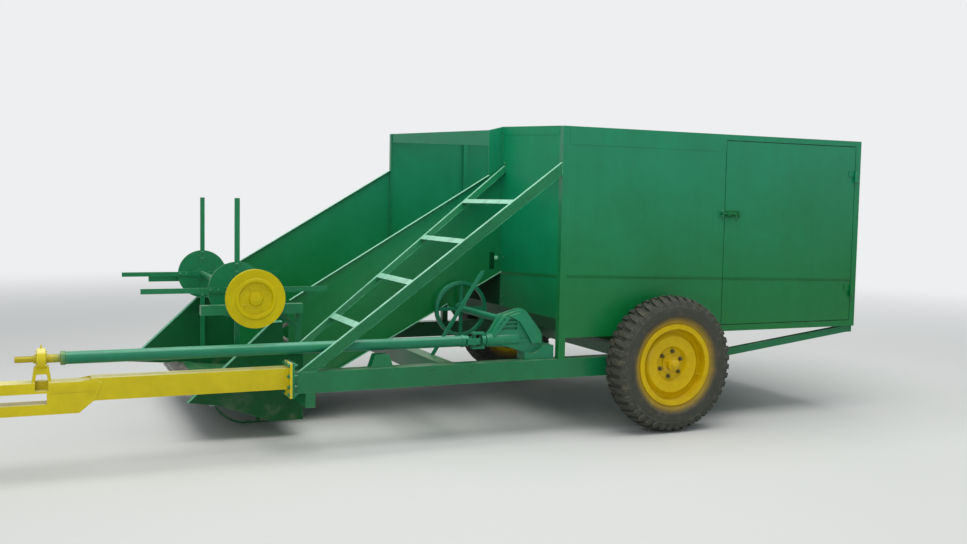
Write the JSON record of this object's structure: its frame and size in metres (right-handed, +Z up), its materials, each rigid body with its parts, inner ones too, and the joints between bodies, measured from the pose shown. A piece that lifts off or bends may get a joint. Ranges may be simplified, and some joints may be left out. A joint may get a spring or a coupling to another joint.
{
  "type": "trailed reaper with collecting bin",
  "caption": "Trailed side-cutting reaper: cutter bar header, reel and slat elevator feeding a large open steel bin on two wheels, with drawbar, drive shaft and ladder.",
  "frame": {"origin": "on the ground, midway along and across the machine, below the middle of its outer box", "axes": "+X from the hitch to the tailgate, +Y from the left side to the right side, +Z up"},
  "size_m": [6.274, 2.841, 2.14],
  "materials": {
    "body_green": "gloss paint",
    "shaft_green": "gloss paint",
    "drawbar_yellow": "gloss paint",
    "wheel_yellow": "gloss paint",
    "tyre": "matt",
    "worn_steel": "worn"
  },
  "bodies": {
    "chassis": {"axle": "body_green", "bin_floor": "body_green", "bin_front_panel": "body_green", "bin_left_panel": "body_green", "bin_posts": "body_green", "bin_rails": "body_green", "bin_right_wall": "body_green", "bin_supports": "body_green", "chassis_cross_members": "body_green", "cutter_bar_guards": "worn_steel", "drawbar": "drawbar_yellow", "elevator_floor": "body_green", "elevator_left_wall": "body_green", "elevator_right_wall": "body_green", "elevator_shafts": "worn_steel", "elevator_slat_chain": "worn_steel", "gearbox_housing": "body_green", "gearbox_pedestal": "body_green", "header_beam": "body_green", "header_carrier_arm": "body_green", "header_pan": "body_green", "header_skids": "body_green", "hitch_jaw": "drawbar_yellow", "idler_lever": "body_green", "knife_sections": "worn_steel", "ladder": "body_green", "left_header_plate": "body_green", "left_main_beam": "body_green", "left_reel_support": "body_green", "right_header_plate": "body_green", "right_main_beam": "body_green", "right_reel_support": "body_green", "shaft_bearing_stand": "body_green", "throat_lintel": "body_green"},
    "left_wheel": {"left_wheel_rim": "wheel_yellow", "left_tyre": "tyre"},
    "right_wheel": {"right_wheel_rim": "wheel_yellow", "right_tyre": "tyre"},
    "reel": {"reel_rotor": "body_green", "reel_pulley": "wheel_yellow"},
    "drive_line": {"drive_shaft": "shaft_green", "universal_joint": "shaft_green"},
    "cross_drive": {"cross_shaft": "body_green"},
    "side_door": {"side_door": "body_green"},
    "tailgate": {"rear_gate": "body_green"}
  },
  "joints": [
    {"name": "left_wheel_turn", "type": "hinge", "parent": "chassis", "child": "left_wheel", "pos_m": [1.311, -1.315, 0.475], "axis": [0, 1, 0], "continuous": true},
    {"name": "right_wheel_turn", "type": "hinge", "parent": "chassis", "child": "right_wheel", "pos_m": [1.311, 1.315, 0.475], "axis": [0, 1, 0], "continuous": true},
    {"name": "reel_turn", "type": "hinge", "parent": "chassis", "child": "reel", "pos_m": [-1.498, 0.3, 0.962], "axis": [0, 1, 0], "continuous": true},
    {"name": "drive_shaft_turn", "type": "hinge", "parent": "chassis", "child": "drive_line", "pos_m": [-1.3, -1.075, 0.655], "axis": [1, 0, 0], "continuous": true},
    {"name": "cross_shaft_turn", "type": "hinge", "parent": "chassis", "child": "cross_drive", "pos_m": [0.175, -0.6, 0.778], "axis": [0, 1, 0], "continuous": true},
    {"name": "side_door_swing", "type": "hinge", "parent": "chassis", "child": "side_door", "pos_m": [3.084, -1.179, 1.3], "axis": [0, 0, 1], "range_deg": [0, 110]},
    {"name": "tailgate_swing", "type": "hinge", "parent": "chassis", "child": "tailgate", "pos_m": [3.124, 0, 2.047], "axis": [0, -1, 0], "range_deg": [0, 85]}
  ],
  "couplings": [
    {"joint": "cross_shaft_turn", "follows": "drive_shaft_turn", "ratio": 1}
  ]
}
